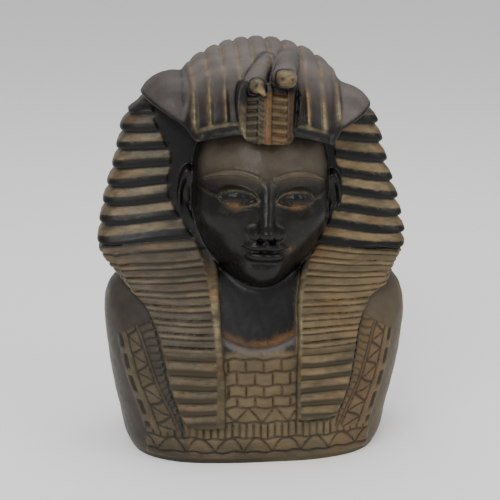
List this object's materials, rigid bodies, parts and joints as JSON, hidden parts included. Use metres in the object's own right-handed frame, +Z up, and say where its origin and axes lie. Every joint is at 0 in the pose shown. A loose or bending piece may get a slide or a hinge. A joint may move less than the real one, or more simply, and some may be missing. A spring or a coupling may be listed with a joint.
{
  "type": "pharaoh bust",
  "caption": "Bust of a pharaoh in a striped headcloth and broad collar, cast in one piece and cut off flat below, that stands on its underside as an ornament",
  "frame": {"origin": "on the flat underside, below the middle of the figure", "axes": "+Z up, the face looks toward -Y, +X to the viewer's right"},
  "size_m": [0.1075, 0.0738, 0.1407],
  "materials": {
    "patinated_resin": "cast resin painted black, with bronze rubbed over the relief and rusty brown left in the hollows, semi-matt"
  },
  "bodies": {
    "root": {"bust": "patinated_resin"}
  },
  "joints": []
}
